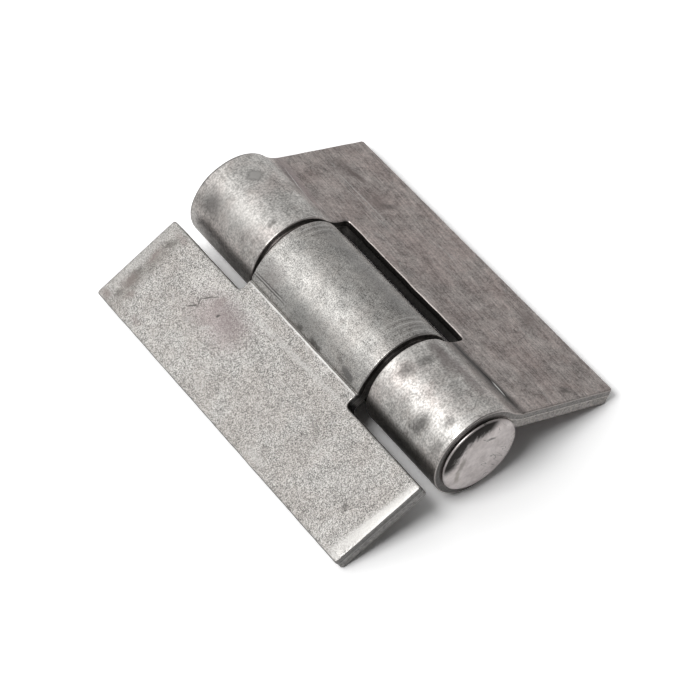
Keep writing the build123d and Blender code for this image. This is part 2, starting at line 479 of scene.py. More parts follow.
def plate_finish(name, look):
    """Bare plate: grainy or streaked flat, burnished rolls, stains, marks, rims lightened by wear and a
    painted edge highlight, sheared walls, painted shading along its length.

    Pairs in look are the values on the flat and on the roll.
    """
    material, n, shader = bare_metal(name)
    flat, rim, cut = n.own("blank", "Vector"), n.own("rim", "Fac"), n.own("cut", "Fac")
    rolled = n.smooth(n.split(flat)["X"], *look["roll_from"])

    def centred(value):
        return n.maths("SUBTRACT", value, 0.5)

    def here(name):
        return n.between(rolled, *look[name])

    width, length, lean = look["streak_form"]
    grain = n.use(sandy_grain, Flat=flat, Size=look["grain_size"])["Grain"]
    streak = n.use(drawn_streaks, Flat=flat, Width=width, Length=length, Lean=radians(lean))["Streak"]
    mottle = n.smooth(n.noise(flat, 1 / look["mottle_size"], 7.0, 0.68)[0], 0.28, 0.72)
    level = n.maths("ADD", 0.5, n.maths("MULTIPLY", centred(grain), here("grain")))
    level = n.maths("ADD", level, n.maths("MULTIPLY", centred(streak), here("streak")))
    level = n.maths("ADD", level, n.maths("MULTIPLY", centred(mottle), here("mottle")))
    dull = n.mix(rolled, *(toned(steel, DULL_TONE) for steel in look["steel"]))
    bright = n.mix(rolled, *(toned(steel, BRIGHT_TONE) for steel in look["steel"]))
    colour = n.mix(level, dull, bright)
    rough = n.maths("SUBTRACT", here("rough"), n.maths("MULTIPLY", centred(level), SHINE_SWING))
    # Painted shading along the plate's length: the colour is scaled from one end to the other, standing in
    # for how the overhead light falls along it.
    shade = n.smooth(n.split(flat)["Y"], *look["shade"])
    colour = n.mix(1.0, colour, n.join(shade, shade, shade), "MULTIPLY")
    for size, cover, feather, tone, strength, shine in look["stains"]:
        stain = n.use(stains, Flat=flat, Size=size, Level=cover, Feather=feather)["Stain"]
        factor = n.maths("MULTIPLY", stain, strength)
        colour = n.mix(factor, colour, (*tone, 1.0), "MULTIPLY")
        rough = n.between(factor, rough, shine)
    for width, length, lean, fineness, tone, strength in look["hairs"]:
        line = n.use(
            hairlines, Flat=flat, Width=width, Length=length, Lean=radians(lean),
            Fineness=fineness)["Line"]
        colour = n.mix(n.maths("MULTIPLY", line, strength), colour, (*tone, 1.0))
    colour, rough = marked(n, flat, look["marks"], colour, rough)
    # Rims lightened: wear together with a painted edge highlight.
    worn_and_highlit = n.use(worn_and_highlit_edge, Rim=rim, Flat=flat, Width=look["worn_and_highlit_width"])["Worn"]
    worn_and_highlit_colour = toned(look["steel"][0], WORN_AND_HIGHLIT_TONE)
    colour = n.mix(n.maths("MULTIPLY", worn_and_highlit, look["worn_and_highlit"]), colour, worn_and_highlit_colour)
    rough = n.between(worn_and_highlit, rough, WORN_ROUGH)
    wall = n.use(sheared_wall, Flat=flat, Cut=cut)
    patchy = n.smooth(wall["Rough"], 0.32, 0.68)
    burnished = n.mix(patchy, *(toned(look["wall"], tone) for tone in BURNISHED_TONES))
    torn = n.mix(patchy, *(toned(look["wall"], tone) for tone in TORN_TONES))
    wall_colour = n.mix(wall["Torn"], burnished, torn)
    seam = n.maths("MULTIPLY", wall["Seam"], SEAM_STRENGTH)
    wall_colour = n.mix(seam, wall_colour, toned(look["wall"], SEAM_TONE))
    raised = n.vector("ADD", n.vector("MULTIPLY", flat, (1, 1, 0)), (0, 0, 1))
    # Darkened patches on the sheared walls: painted shade where a wall faces a knuckle across a narrow
    # gap, and plain darkening on the near end wall round the pin head.
    for centre, reach, strength in look["wall_shade_and_darkening"]:
        wall_shade_and_darkening = n.use(
            placed_mark, Flat=raised, Centre=(*centre, 0), Reach=(*reach, 1), Lean=0.0,
            Feather=WALL_DARKENING_FEATHER, Ragged=WALL_DARKENING_RAGGED)["Mark"]
        wall_colour = n.mix(n.maths("MULTIPLY", wall_shade_and_darkening, strength), wall_colour, (*NEAR_BLACK, 1))
    colour = n.mix(wall["Wall"], colour, wall_colour)
    rough = n.between(wall["Wall"], rough, n.between(wall["Torn"], BURNISHED_ROUGH, TORN_ROUGH))
    n.tree.links.new(colour, shader.inputs["Base Color"])
    n.tree.links.new(rough, shader.inputs["Roughness"])
    soft = n.maths("MULTIPLY", mottle, MOTTLE_RELIEF)
    skin = n.maths("ADD", n.maths("MULTIPLY", grain, here("grain")), soft)
    relief = n.between(wall["Wall"], skin, n.maths("MULTIPLY", wall["Rough"], WALL_RELIEF))
    bump = n.add("ShaderNodeBump", {"Height": relief, "Strength": 1.0, "Distance": look["relief"] * MM})
    n.tree.links.new(bump.outputs[0], shader.inputs["Normal"])
    return material


LIGHT_STEEL = (0.350, 0.340, 0.325)
DARK_STEEL = (0.465, 0.423, 0.404)
ROLL_STEEL = (0.60, 0.583, 0.559)
MIDDLE_STEEL = (0.445, 0.435, 0.417)
SMEAR_AND_SHADE = (0.09, 0.085, 0.08)
NEAR_BLACK = (0.035, 0.034, 0.033)
SCALE_BROWN = (0.20, 0.165, 0.155)
ROSE = (0.46, 0.385, 0.385)
BRIGHT = (0.72, 0.71, 0.69)
RUBBED = (0.44, 0.43, 0.415)

STAKE = (33.4, -32.1)

# Marks: centre, half size, lean in degrees, feather, raggedness, colour, strength, roughness
light_marks = [
    ((10.0, 36.9), (11.5, 1.3), -1.2, 0.7, 1.2, RUBBED, 0.4, 0.48),
    ((16.3, 34.6), (1.5, 0.5), 20, 0.7, 1.4, SMEAR_AND_SHADE, 0.6, 0.5),
    ((8.3, 35.2), (1.3, 0.7), 0, 0.7, 1.8, SMEAR_AND_SHADE, 0.55, 0.5),
    ((6.3, 34.9), (1.5, 0.9), 0, 0.8, 1.9, SCALE_BROWN, 0.75, 0.5),
    ((3.0, 34.8), (0.8, 0.6), 0, 0.7, 1.4, SMEAR_AND_SHADE, 0.55, 0.5),
    ((9.0, 34.2), (9.8, 1.5), -2, 0.9, 2.8, (0.19, 0.175, 0.16), 0.5, 0.5),
    ((1.2, 36.6), (0.7, 1.0), 0, 0.8, 1.4, SCALE_BROWN, 0.65, 0.5),
    ((4.6, 32.6), (1.0, 0.6), 30, 0.8, 1.6, SCALE_BROWN, 0.5, 0.5),
    ((18.6, 33.6), (0.6, 1.6), 0, 0.8, 1.4, SCALE_BROWN, 0.45, 0.5),
    ((12.6, 35.2), (1.4, 0.5), -10, 0.8, 1.6, SCALE_BROWN, 0.55, 0.5),
    ((2.0, 27.5), (0.7, 1.4), 0, 0.8, 1.6, SCALE_BROWN, 0.4, 0.5),
    ((16.0, 17.5), (1.2, 0.9), 20, 0.8, 1.8, SCALE_BROWN, 0.45, 0.5),
    ((11.0, -37.55), (10.5, 1.15), 6.6, 0.6, 0.9, RUBBED, 0.8, 0.42),
    ((13.5, 15.0), (3.2, 5.5), 0, 0.9, 3.0, (0.30, 0.245, 0.245), 0.5, 0.48),
    ((15.2, 13.5), (2.2, 3.6), 20, 0.9, 3.0, (0.17, 0.14, 0.14), 0.4, 0.48),
    ((11.7, 21.3), (1.0, 0.14), 45, 0.6, 0.6, SMEAR_AND_SHADE, 0.9, 0.5),
    ((13.0, 20.8), (0.6, 0.13), -30, 0.6, 0.5, SMEAR_AND_SHADE, 0.9, 0.5),
    ((14.9, 20.0), (1.7, 0.13), 42, 0.7, 0.6, SMEAR_AND_SHADE, 0.85, 0.5),
    ((13.9, 15.7), (0.36, 0.24), 20, 0.6, 0.5, SMEAR_AND_SHADE, 0.95, 0.5),
    ((10.5, 15.9), (0.9, 0.3), 40, 0.8, 0.9, RUBBED, 0.5, 0.42),
    ((19.3, -4.0), (0.5, 11.0), -2.0, 0.9, 1.2, RUBBED, 0.5, 0.42),
    ((18.6, 5.8), (0.16, 1.1), 12, 0.6, 0.5, RUBBED, 0.7, 0.42),
    ((16.1, -17.4), (1.8, 0.12), 35, 0.7, 0.4, RUBBED, 0.6, 0.42),
    ((13.5, -19.0), (1.3, 0.12), 28, 0.7, 0.4, RUBBED, 0.6, 0.42),
    ((11.4, -19.5), (1.1, 0.12), -6, 0.7, 0.4, RUBBED, 0.5, 0.42),
    ((7.8, -31.4), (0.7, 0.6), 0, 0.7, 1.2, SMEAR_AND_SHADE, 0.55, 0.5),
    ((1.8, -11.4), (0.8, 2.4), 0, 0.8, 1.2, RUBBED, 0.4, 0.42),
    # bright line on the flat by the crease: painted highlight of the crease edge, partly burnished metal
    ((22.5, 0.0), (0.22, 16.4), 0, 0.8, 0.5, BRIGHT, 0.7, 0.4),
    # fold lines past the crease: painted shade in the two folds and a painted highlight on the ridge
    # between them
    ((25.4, 11.8), (0.12, 4.7), -1, 0.5, 0.3, SMEAR_AND_SHADE, 0.9, 0.5),
    ((25.85, 12.0), (0.11, 4.4), -1, 0.5, 0.3, SMEAR_AND_SHADE, 0.85, 0.5),
    ((25.62, 12.0), (0.09, 4.4), -1, 0.5, 0.2, BRIGHT, 0.6, 0.3),
    ((24.7, 1.6), (0.5, 0.8), 0, 0.7, 1.2, SMEAR_AND_SHADE, 0.85, 0.5),
    ((24.6, -2.7), (0.5, 0.9), 0, 0.7, 1.2, SMEAR_AND_SHADE, 0.85, 0.5),
    ((24.5, -4.2), (0.4, 0.8), 0, 0.7, 1.2, SMEAR_AND_SHADE, 0.75, 0.5),
    ((25.2, -12.8), (0.62, 1.7), 10, 0.35, 0.4, (0.15, 0.145, 0.14), 0.8, 0.4),
    ((26.6, 2.5), (1.6, 5.5), 0, 0.9, 2.2, (0.24, 0.24, 0.23), 0.55, 0.42),
    ((27.5, 13.0), (2.0, 2.6), 0, 0.9, 2.4, (0.24, 0.225, 0.22), 0.5, 0.42),
    # right side of the middle knuckle darker: painted shade
    ((39.8, 1.0), (1.6, 15.5), 0, 0.9, 1.5, (0.25, 0.24, 0.235), 0.5, 0.4),
]
for place, tone, strength in (
        (-11.9, BRIGHT, 0.5), (-12.5, SMEAR_AND_SHADE, 0.5), (-13.2, BRIGHT, 0.6), (-13.9, SMEAR_AND_SHADE, 0.45),
        (-14.7, SMEAR_AND_SHADE, 0.5), (-15.4, BRIGHT, 0.5), (15.3, BRIGHT, 0.55), (14.7, SMEAR_AND_SHADE, 0.5),
        (14.0, BRIGHT, 0.4), (13.2, SMEAR_AND_SHADE, 0.35)):
    light_marks.append(((38.6, place), (3.4, 0.10), 1.5, 0.7, 0.35, tone, strength, 0.35))
dark_marks = [
    ((23.9, -30.5), (1.2, 6.5), 10, 0.8, 2.4, ROSE, 0.55, 0.45),
    ((24.9, -31.0), (0.8, 5.0), 10, 0.8, 2.4, (0.19, 0.155, 0.155), 0.5, 0.45),
    ((25.3, -27.0), (0.16, 4.0), 12, 0.7, 1.0, BRIGHT, 0.6, 0.35),
    ((24.4, -31.0), (0.14, 3.0), 14, 0.7, 1.0, BRIGHT, 0.6, 0.35),
    ((9.3, -29.2), (0.6, 2.4), -12, 0.7, 1.4, SCALE_BROWN, 0.8, 0.45),
    ((10.8, -31.5), (1.8, 3.0), 0, 0.9, 2.6, SCALE_BROWN, 0.4, 0.45),
    ((10.5, -21.0), (1.8, 2.2), 0, 0.8, 2.4, SCALE_BROWN, 0.65, 0.45),
    ((8.3, -18.9), (1.6, 0.7), 30, 0.8, 1.8, SMEAR_AND_SHADE, 0.5, 0.45),
    ((12.7, -23.5), (0.14, 7.0), 0, 0.7, 0.4, BRIGHT, 0.5, 0.3),
    ((13.8, -20.0), (0.10, 9.0), 0.6, 0.7, 0.4, BRIGHT, 0.35, 0.3),
    ((3.0, 17.0), (1.4, 2.2), 20, 0.8, 1.8, SCALE_BROWN, 0.55, 0.45),
    ((10.1, 35.3), (0.9, 0.7), 30, 0.7, 1.4, SMEAR_AND_SHADE, 0.65, 0.45),
    # groove by the near bend: painted shade in the groove and a painted glint in it
    ((23.7, 27.6), (1.10, 10.0), -1.5, 0.5, 0.5, (0.13, 0.12, 0.115), 0.9, 0.42),
    ((23.75, 26.5), (0.40, 8.6), -1.5, 0.6, 0.3, NEAR_BLACK, 0.9, 0.42),
    ((23.5, 31.2), (0.15, 1.7), 4, 0.5, 0.2, (0.85, 0.84, 0.82), 0.95, 0.2),
    # far knuckle's highlight dimmed: painted shade
    ((40.5, -28.0), (2.6, 9.5), 0, 0.9, 1.6, (0.33, 0.32, 0.305), 0.5, 0.38),
    (STAKE, (1.3, 1.3), 45, 0.3, 0.9, (0.05, 0.047, 0.045), 0.5, 0.4),
    (STAKE, (0.95, 0.95), 45, 0.3, 0.7, (0.54, 0.525, 0.505), 0.9, 0.42),
    ((25.2, 29.5), (1.4, 9.5), 0, 0.9, 1.4, SMEAR_AND_SHADE, 0.5, 0.45),
    ((38.0, -38.0), (9.0, 0.28), 0, 0.6, 0.2, NEAR_BLACK, 0.75, 0.5),
    ((37.6, 21.4), (1.3, 1.1), 0, 0.8, 2.0, SMEAR_AND_SHADE, 0.75, 0.4),
    ((34.4, 22.0), (1.1, 0.9), 0, 0.8, 2.0, SMEAR_AND_SHADE, 0.65, 0.4),
    ((41.6, 30.8), (1.9, 1.2), 20, 0.8, 2.2, SMEAR_AND_SHADE, 0.75, 0.4),
    ((38.5, 35.0), (1.1, 0.8), 0, 0.8, 1.8, SMEAR_AND_SHADE, 0.7, 0.4),
    ((42.4, 36.2), (1.2, 0.8), 0, 0.8, 1.4, SMEAR_AND_SHADE, 0.5, 0.4),
    ((31.4, 22.5), (1.1, 3.8), 10, 0.8, 2.6, (0.19, 0.16, 0.155), 0.75, 0.42),
    ((30.4, 27.5), (0.9, 4.5), 6, 0.8, 2.6, (0.21, 0.175, 0.17), 0.65, 0.42),
    ((41.7, -33.5), (2.0, 1.8), 0, 0.9, 1.0, (0.13, 0.125, 0.12), 0.65, 0.32),
    ((37.0, -20.5), (0.7, 0.5), 0, 0.7, 1.4, SMEAR_AND_SHADE, 0.6, 0.4),
    # lower left sides of the knuckles: painted shade standing in for the dark they reflect
    ((47.6, 29.0), (2.3, 10.5), 0, 0.9, 1.6, (0.10, 0.097, 0.093), 0.75, 0.38),
    ((47.6, -28.0), (1.8, 9.0), 0, 0.9, 1.6, (0.12, 0.116, 0.112), 0.5, 0.38),
]

# Pairs are the values on the flat and on the roll
light_look = {
    "steel": (LIGHT_STEEL, MIDDLE_STEEL), "wall": (0.40, 0.39, 0.38), "roll_from": (23.2, 25.0),
    "grain_size": 0.15, "grain": (1.3, 0.80), "streak_form": (0.5, 7.0, 0.0), "streak": (0.06, 0.14),
    "mottle_size": 3.2, "mottle": (0.26, 0.40), "rough": (0.46, 0.43), "relief": 0.006,
    # painted shading along the length: darker at the near end, lighter at the far end
    "worn_and_highlit_width": 0.30, "worn_and_highlit": 0.45, "shade": (-34.0, 34.0, 0.92, 1.14),
    "stains": [
        (6.5, 0.50, 0.11, (0.80, 0.77, 0.755), 0.6, 0.5),
        (2.2, 0.60, 0.10, (0.74, 0.72, 0.71), 0.4, 0.55),
    ],
    "hairs": [(2.2, 9.0, 35.0, 0.012, RUBBED, 0.5), (3.0, 8.0, -50.0, 0.010, SMEAR_AND_SHADE, 0.3)],
    "marks": light_marks,
    # notch walls facing the knuckles across the gap: painted shade
    "wall_shade_and_darkening": [((19.95, 27.0), (1.2, 11.0), 0.85), ((19.95, -18.0), (1.2, 2.5), 0.85)],
}
dark_look = {
    "steel": (DARK_STEEL, ROLL_STEEL), "wall": (0.50, 0.475, 0.455), "roll_from": (24.0, 29.0),
    "grain_size": 0.34, "grain": (0.32, 0.46), "streak_form": (0.34, 6.0, 3.0), "streak": (0.29, 0.13),
    "mottle_size": 3.4, "mottle": (0.42, 0.36), "rough": (0.55, 0.44), "relief": 0.005,
    # painted shading along the length: slightly lighter at the far end
    "worn_and_highlit_width": 0.30, "worn_and_highlit": 0.75, "shade": (-30.0, 30.0, 1.04, 1.0),
    "stains": [
        (8.0, 0.52, 0.14, (0.82, 0.74, 0.73), 0.55, 0.45),
        (2.6, 0.60, 0.08, (0.66, 0.62, 0.60), 0.45, 0.45),
    ],
    "hairs": [(1.6, 14.0, 2.0, 0.014, BRIGHT, 0.42), (2.5, 6.0, 60.0, 0.010, SMEAR_AND_SHADE, 0.40)],
    "marks": dark_marks,
    # slot wall: painted shade; near end wall of the knuckle round the pin head: darkened
    "wall_shade_and_darkening": [((20.45, 0.0), (1.3, 19.0), 0.85), ((46.0, 38.1), (16.0, 1.5), 0.5)],
}
light_plate = plate_finish("light rolled plate", light_look)
dark_plate = plate_finish("dark rolled plate", dark_look)


# Pin head: colours, grain, and the dark crescent by its rim, in millimetres from the pin axis
PIN_DULL, PIN_PALE = (0.72, 0.665, 0.652, 1), (0.91, 0.85, 0.835, 1)
PIN_GRAIN = (0.50, 0.46, 0.45, 1)
PIN_GRAIN_SIZE, PIN_GRAIN_STRENGTH = 0.7, 0.22
PIN_ROUGH = (0.52, 0.40)
PIN_SCRATCH_STRENGTH = 0.6
CRESCENT_BLACK = (0.022, 0.020, 0.018, 1)
CRESCENT_STRENGTH = 0.97
CRESCENT_SIDE = (-0.45, 0.89)
CRESCENT_INNER = (6.3, 8.1)
CRESCENT_OUTER = (8.05, 7.8)
CRESCENT_ACROSS = (3.0, 5.0)
STREAK_RAGGED, CLOUD_RAGGED = 0.7, 2.1
PIN_GRAIN_RELIEF, PIN_RELIEF = 0.35, 0.02
pin_marks = [
    ((-4.3, 0.8), (0.5, 1.3), 25, 0.7, 1.2, (0.2, 0.18, 0.15), 0.5, 0.4),
    ((-5.4, -1.6), (0.4, 1.6), 10, 0.8, 1.2, (0.25, 0.22, 0.17), 0.45, 0.4),
    ((2.3, 3.3), (0.9, 0.25), 20, 0.7, 0.7, SMEAR_AND_SHADE, 0.7, 0.4),
]


def pin_finish():
    """Hammered pin: pale faces, fine scratches, a dark streaky crescent by the rim of the near head."""
    material, n, shader = bare_metal("pin steel")
    spot = n.add("ShaderNodeTexCoord", {}).outputs["Object"]
    parts = n.split(n.vector("MULTIPLY", spot, (1 / MM, 1 / MM, 1 / MM)))
    height = n.maths("SUBTRACT", parts["Z"], AXIS_HEIGHT)
    face = n.join(parts["X"], height, n.maths("MULTIPLY", parts["Y"], -1 / HALF_LENGTH))
    body = n.join(parts["X"], parts["Y"], height)
    grain = n.use(sandy_grain, Flat=body, Size=PIN_GRAIN_SIZE)["Grain"]
    cloud = n.noise(body, 0.45, 4.0, 0.6)[0]
    colour = n.mix(n.smooth(cloud, 0.3, 0.7), PIN_DULL, PIN_PALE)
    colour = n.mix(n.maths("MULTIPLY", grain, PIN_GRAIN_STRENGTH), colour, PIN_GRAIN)
    line = n.use(hairlines, Flat=face, Width=1.2, Length=5.0, Lean=radians(-40), Fineness=0.015)["Line"]
    colour = n.mix(n.maths("MULTIPLY", line, PIN_SCRATCH_STRENGTH), colour, (*SMEAR_AND_SHADE, 1))
    rough = n.smooth(cloud, 0.3, 0.7, *PIN_ROUGH)
    spread = n.maths("ADD", n.maths("POWER", parts["X"], 2.0), n.maths("POWER", height, 2.0))
    far = n.maths("SQRT", spread)
    over_x, over_z = (n.maths("MULTIPLY", *pair) for pair in zip((parts["X"], height), CRESCENT_SIDE))
    side = n.maths("ADD", over_x, over_z)
    edge_streaks = n.use(drawn_streaks, Flat=face, Width=0.55, Length=2.6, Lean=radians(30))["Streak"]
    inner = n.maths("ADD", far, n.maths("MULTIPLY", edge_streaks, STREAK_RAGGED))
    ragged = n.noise(face, 0.8, 4.0, 0.65)[0]
    inner = n.maths("ADD", inner, n.maths("MULTIPLY", ragged, CLOUD_RAGGED))
    crescent = n.maths("MULTIPLY", n.smooth(inner, *CRESCENT_INNER), n.smooth(side, *CRESCENT_ACROSS))
    crescent = n.maths("MULTIPLY", crescent, n.smooth(far, *CRESCENT_OUTER))
    crescent = n.maths("MULTIPLY", crescent, n.smooth(parts["Y"], 1.0, -1.0))
    colour = n.mix(n.maths("MULTIPLY", crescent, CRESCENT_STRENGTH), colour, CRESCENT_BLACK)
    colour, rough = marked(n, face, pin_marks, colour, rough)
    n.tree.links.new(colour, shader.inputs["Base Color"])
    n.tree.links.new(rough, shader.inputs["Roughness"])
    relief = n.maths("ADD", n.maths("MULTIPLY", grain, PIN_GRAIN_RELIEF), cloud)
    bump = n.add("ShaderNodeBump", {"Height": relief, "Strength": 1.0, "Distance": PIN_RELIEF * MM})
    n.tree.links.new(bump.outputs[0], shader.inputs["Normal"])
    return material


pin_steel = pin_finish()


# The three pieces

def bent_plate(name, blank, bends, material, tree):
    """Rolls a blank: bends are (start, length, turn) from the tail back to the outer edge."""
    shaper = bpy.data.objects.new(name + "_blank", blank)
    bpy.context.scene.collection.objects.link(shaper)
    inputs = {s.name: s.identifier for s in tree.interface.items_tree if s.in_out == "INPUT"}
    for start, length, turn in bends:
        step = shaper.modifiers.new("bend", "NODES")
        step.node_group = tree
        step[inputs["Start"]] = start
        step[inputs["Length"]] = length
        step[inputs["Turn"]] = turn
        step[inputs["Finish"]] = material
    depsgraph = bpy.context.evaluated_depsgraph_get()
    mesh = bpy.data.meshes.new_from_object(shaper.evaluated_get(depsgraph))
    bpy.data.objects.remove(shaper)
    mesh.name = name
    return mesh


def placed(mesh, reach, under, side):
    """Moves a rolled plate, in millimetres from its outer edge, to its place beside the pin."""
    tilt = asin(AXIS_HEIGHT / hypot(reach, under)) + atan2(under, reach)
    out = Vector((side * cos(tilt), 0, -sin(tilt)))
    up = Vector((side * sin(tilt), 0, cos(tilt)))
    start = Vector((0, 0, AXIS_HEIGHT)) + out * reach + up * (under + HALF_T)
    turn = Matrix((-out, Vector((0, -side, 0)), up)).transposed().to_4x4()
    mesh.transform(Matrix.Scale(MM, 4) @ Matrix.Translation(start) @ turn)


def add_piece(name, mesh, body, node):
    piece = bpy.data.objects.new(name, mesh)
    bpy.context.scene.collection.objects.link(piece)
    mesh.polygons.foreach_set("use_smooth", [True] * len(mesh.polygons))
    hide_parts(node)
    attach(piece, body)
    return piece


def rows_with_fine(stop, fine_low, fine_high):
    """Row positions across a blank, closer together where a crease or a groove runs."""
    fine = np.arange(fine_low, fine_high, FINE_STEP)
    coarse = np.arange(0, stop, GRID_STEP)
    apart = (coarse < fine_low - GRID_STEP / 2) | (coarse > fine_high + GRID_STEP / 2)
    return np.sort(np.r_[coarse[apart], fine])


tree = bend_tree()

# Two-knuckle plate
bend_centre_h = RIGHT_UNDER + PLATE_T + BEND_R
bend_centre_s = sqrt((HELD_ROLL_R + BEND_R) ** 2 - bend_centre_h ** 2)
bend_angle = atan2(bend_centre_h, bend_centre_s)
dark_flat = RIGHT_REACH - bend_centre_s
dark_bend = (dark_flat, (pi / 2 - bend_angle) * (BEND_R + HALF_T), pi / 2 - bend_angle)
dark_wrap = 2 * pi + TAIL_ANGLE - bend_angle
dark_roll = (dark_bend[0] + dark_bend[1], dark_wrap * (PIN_R + HALF_T), -dark_wrap)
dark_end = dark_roll[0] + dark_roll[1]
slot_u = RIGHT_REACH - SLOT_REACH
EDGE_WAVE = 0.05
SLOT_WAVE = 0.22
dark_corners = [
    (0, -HALF_LENGTH - RIGHT_FAR_SKEW, OUTER_CORNER_R, EDGE_WAVE),
    (dark_flat, -HALF_LENGTH, TAIL_CORNER_R, EDGE_WAVE),
    (dark_end, -HALF_LENGTH, TAIL_CORNER_R, EDGE_WAVE),
    (dark_end, -SLOT_HALF, TAIL_CORNER_R, EDGE_WAVE),
    (slot_u, -SLOT_HALF, CUT_CORNER_R, SLOT_WAVE),
    (slot_u, SLOT_HALF, CUT_CORNER_R, EDGE_WAVE),
    (dark_end, SLOT_HALF, TAIL_CORNER_R, EDGE_WAVE),
    (dark_end, HALF_LENGTH, TAIL_CORNER_R, EDGE_WAVE),
    (0, HALF_LENGTH, OUTER_CORNER_R, EDGE_WAVE),
]
# Groove by the near bend and ring of the stake mark, in millimetres
GROOVE_U, GROOVE_WIDTH, GROOVE_DEPTH = 23.45, 0.45, 0.14
GROOVE_WANDER, GROOVE_WANDER_RUN = 0.25, 4
GROOVE_FROM = (18.0, 21.0)
GROOVE_ROWS = (22.8, 24.2)
STAKE_R, STAKE_WIDTH, STAKE_DEPTH = 1.2, 0.35, 0.05
ROLLED_WAVE = 0.025


def dark_shape(u, y):
    wander = GROOVE_WANDER * sin(y / GROOVE_WANDER_RUN)
    groove = bell(u - GROOVE_U - wander, GROOVE_WIDTH) * ramp(*GROOVE_FROM, y)
    ring = bell(hypot(u - STAKE[0], y - STAKE[1]) - STAKE_R, STAKE_WIDTH)
    waves = slow_waves(u, y, ROLLED_WAVE, 8.0, 3.0)
    return waves - GROOVE_DEPTH * groove - STAKE_DEPTH * ring


dark_rows = rows_with_fine(dark_end, *GROOVE_ROWS)
dark_blank = flat_blank("two_knuckle_blank", dark_corners, dark_rows, dark_shape)
dark_mesh = bent_plate("two_knuckle_plate", dark_blank, [dark_roll, dark_bend], dark_plate, tree)
placed(dark_mesh, RIGHT_REACH, RIGHT_UNDER, 1)
add_piece("two_knuckle_plate", dark_mesh, "fixed_leaf", "two_knuckle_leaf")

# One-knuckle plate
bulge_dir = Vector((cos(BULGE_START_ANGLE), sin(BULGE_START_ANGLE)))
crease = Vector((CREASE_REACH, LEFT_UNDER + PLATE_T))
crease_along = crease.dot(bulge_dir)
bulge_gap = crease.length_squared + RUNNING_ROLL_R ** 2 - 2 * RUNNING_ROLL_R * crease_along
bulge_r = bulge_gap / (2 * (RUNNING_ROLL_R - crease_along))
bulge_centre = bulge_dir * (RUNNING_ROLL_R - bulge_r)
crease_angle = atan2(*(crease - bulge_centre).yx)
crease_turn = pi / 2 - crease_angle
ease = CREASE_R * tan(crease_turn / 2)
crease_u = LEFT_REACH - CREASE_REACH - ease
light_crease = (crease_u, crease_turn * (CREASE_R + HALF_T), crease_turn)
bulge_sweep = BULGE_START_ANGLE - crease_angle - ease / bulge_r
light_bulge = (light_crease[0] + light_crease[1], bulge_sweep * (bulge_r - HALF_T), -bulge_sweep)
light_wrap = 2 * pi + TAIL_ANGLE - BULGE_START_ANGLE
light_roll_r = PIN_R + RUNNING_CLEARANCE + HALF_T
light_roll = (light_bulge[0] + light_bulge[1], light_wrap * light_roll_r, -light_wrap)
light_end = light_roll[0] + light_roll[1]
notch_u = LEFT_REACH - NOTCH_REACH
light_corners = [
    (0, -HALF_LENGTH, OUTER_CORNER_R, EDGE_WAVE),
    (notch_u, -HALF_LENGTH - LEFT_NEAR_SKEW, TAIL_CORNER_R, EDGE_WAVE),
    (notch_u, -NECK_HALF, CUT_CORNER_R, EDGE_WAVE),
    (light_end, -NECK_HALF, TAIL_CORNER_R, EDGE_WAVE),
    (light_end, NECK_HALF, TAIL_CORNER_R, EDGE_WAVE),
    (notch_u, NECK_HALF, CUT_CORNER_R, EDGE_WAVE),
    (notch_u, HALF_LENGTH + LEFT_FAR_OVER - LEFT_FAR_SKEW, TAIL_CORNER_R, EDGE_WAVE),
    (0, HALF_LENGTH + LEFT_FAR_OVER, OUTER_CORNER_R, EDGE_WAVE),
]
# Slope at the near end, lip and step at the crease, and fold lines past it, in millimetres
SLOPE_DEPTH, SLOPE_INNER, SLOPE_SPREAD = 0.14, 1.4, 2.2
LIP_HEIGHT, LIP_WIDTH = 0.05, 0.25
STEP_DEPTH = 0.25
FOLD_LINES, FOLD_WIDTH, FOLD_DEPTH = (25.4, 25.85), 0.13, 0.06
FOLD_FROM = (7.0, 8.5)
FINE_BEFORE_CREASE, FINE_STOP = 0.4, 26.3


def light_shape(u, y):
    near_end = -HALF_LENGTH - LEFT_NEAR_SKEW * u / notch_u
    wide = SLOPE_INNER + SLOPE_SPREAD * (1 - u / notch_u)
    slope = max(0.0, 1 - (y - near_end) / wide) ** 2 if u < notch_u else 0.0
    edge = crease_u + 0.1 + 0.12 * noise.noise(Vector((0, y / 2.5, 4)))
    lip = bell(u - edge + LIP_WIDTH, LIP_WIDTH)
    step = ramp(edge, edge + 0.3, u) * (1 - ramp(edge + 0.5, edge + 1.8, u))
    folds = sum(bell(u - line, FOLD_WIDTH) for line in FOLD_LINES) * ramp(*FOLD_FROM, y)
    waves = slow_waves(u, y, ROLLED_WAVE, 9.0, 7.0)
    return waves - SLOPE_DEPTH * slope + LIP_HEIGHT * lip - STEP_DEPTH * step - FOLD_DEPTH * folds


light_rows = rows_with_fine(light_end, crease_u - FINE_BEFORE_CREASE, FINE_STOP)
light_blank = flat_blank("one_knuckle_blank", light_corners, light_rows, light_shape)
light_bends = [light_roll, light_bulge, light_crease]
light_mesh = bent_plate("one_knuckle_plate", light_blank, light_bends, light_plate, tree)
placed(light_mesh, LEFT_REACH, LEFT_UNDER, -1)
add_piece("one_knuckle_plate", light_mesh, "swinging_leaf", "one_knuckle_leaf")


# Pin mesh: points round it, and how far the hammered heads are out of round and dented
PIN_TURNS = 160
OUT_OF_ROUND = 0.008
DENT_DEPTH, DENT_SIZE = 0.05, 3.5
SHANK_EASE = 0.2


